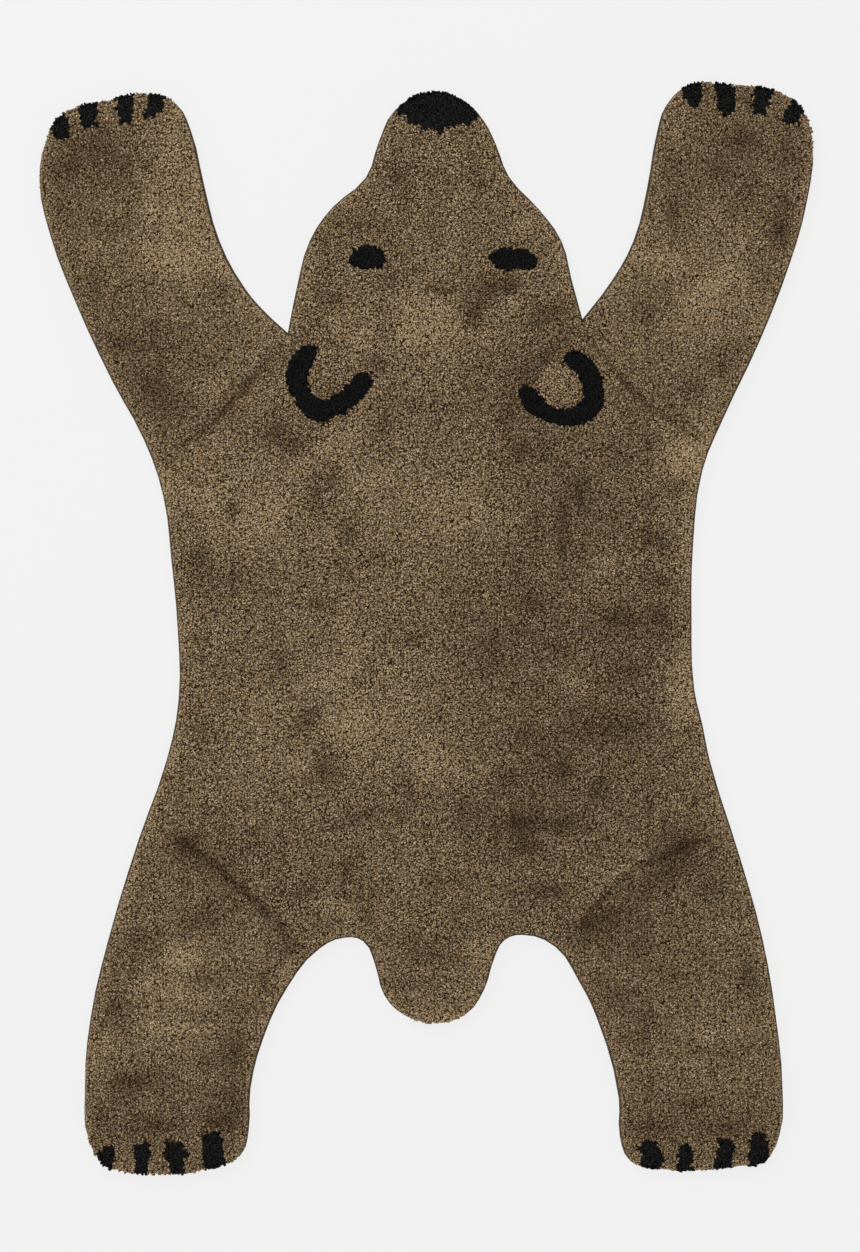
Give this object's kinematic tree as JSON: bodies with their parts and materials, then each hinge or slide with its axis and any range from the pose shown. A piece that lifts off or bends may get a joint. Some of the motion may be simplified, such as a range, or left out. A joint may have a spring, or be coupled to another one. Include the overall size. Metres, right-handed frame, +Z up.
{
  "type": "bear shaped kids rug",
  "caption": "Flat bear shaped rug for a child's room: cut brown wool pile on a folded canvas backing, spread out like a bearskin, with nose, eyes, ears and claws in black yarn.",
  "frame": {"origin": "on the floor, at the centre of the bounding box's base, under the middle of the rug", "axes": "+Y towards the bear's head, +Z up out of the pile, +X to the right as seen from above"},
  "size_m": [0.8507, 1.1992, 0.0173],
  "materials": {
    "brown_wool": "cut wool pile, matt, with a soft sheen",
    "black_wool": "cut wool pile, matt",
    "dark_canvas": "plain woven cotton, matt"
  },
  "bodies": {
    "root": {"backing": "dark_canvas", "pile_brown": "brown_wool", "nose": "black_wool", "eye_left": "black_wool", "eye_right": "black_wool", "ear_left": "black_wool", "ear_right": "black_wool", "claw_fore_left_1": "black_wool", "claw_fore_left_2": "black_wool", "claw_fore_left_3": "black_wool", "claw_fore_left_4": "black_wool", "claw_fore_right_1": "black_wool", "claw_fore_right_2": "black_wool", "claw_fore_right_3": "black_wool", "claw_fore_right_4": "black_wool", "claw_hind_left_1": "black_wool", "claw_hind_left_2": "black_wool", "claw_hind_left_3": "black_wool", "claw_hind_left_4": "black_wool", "claw_hind_right_1": "black_wool", "claw_hind_right_2": "black_wool", "claw_hind_right_3": "black_wool", "claw_hind_right_4": "black_wool"}
  },
  "joints": []
}
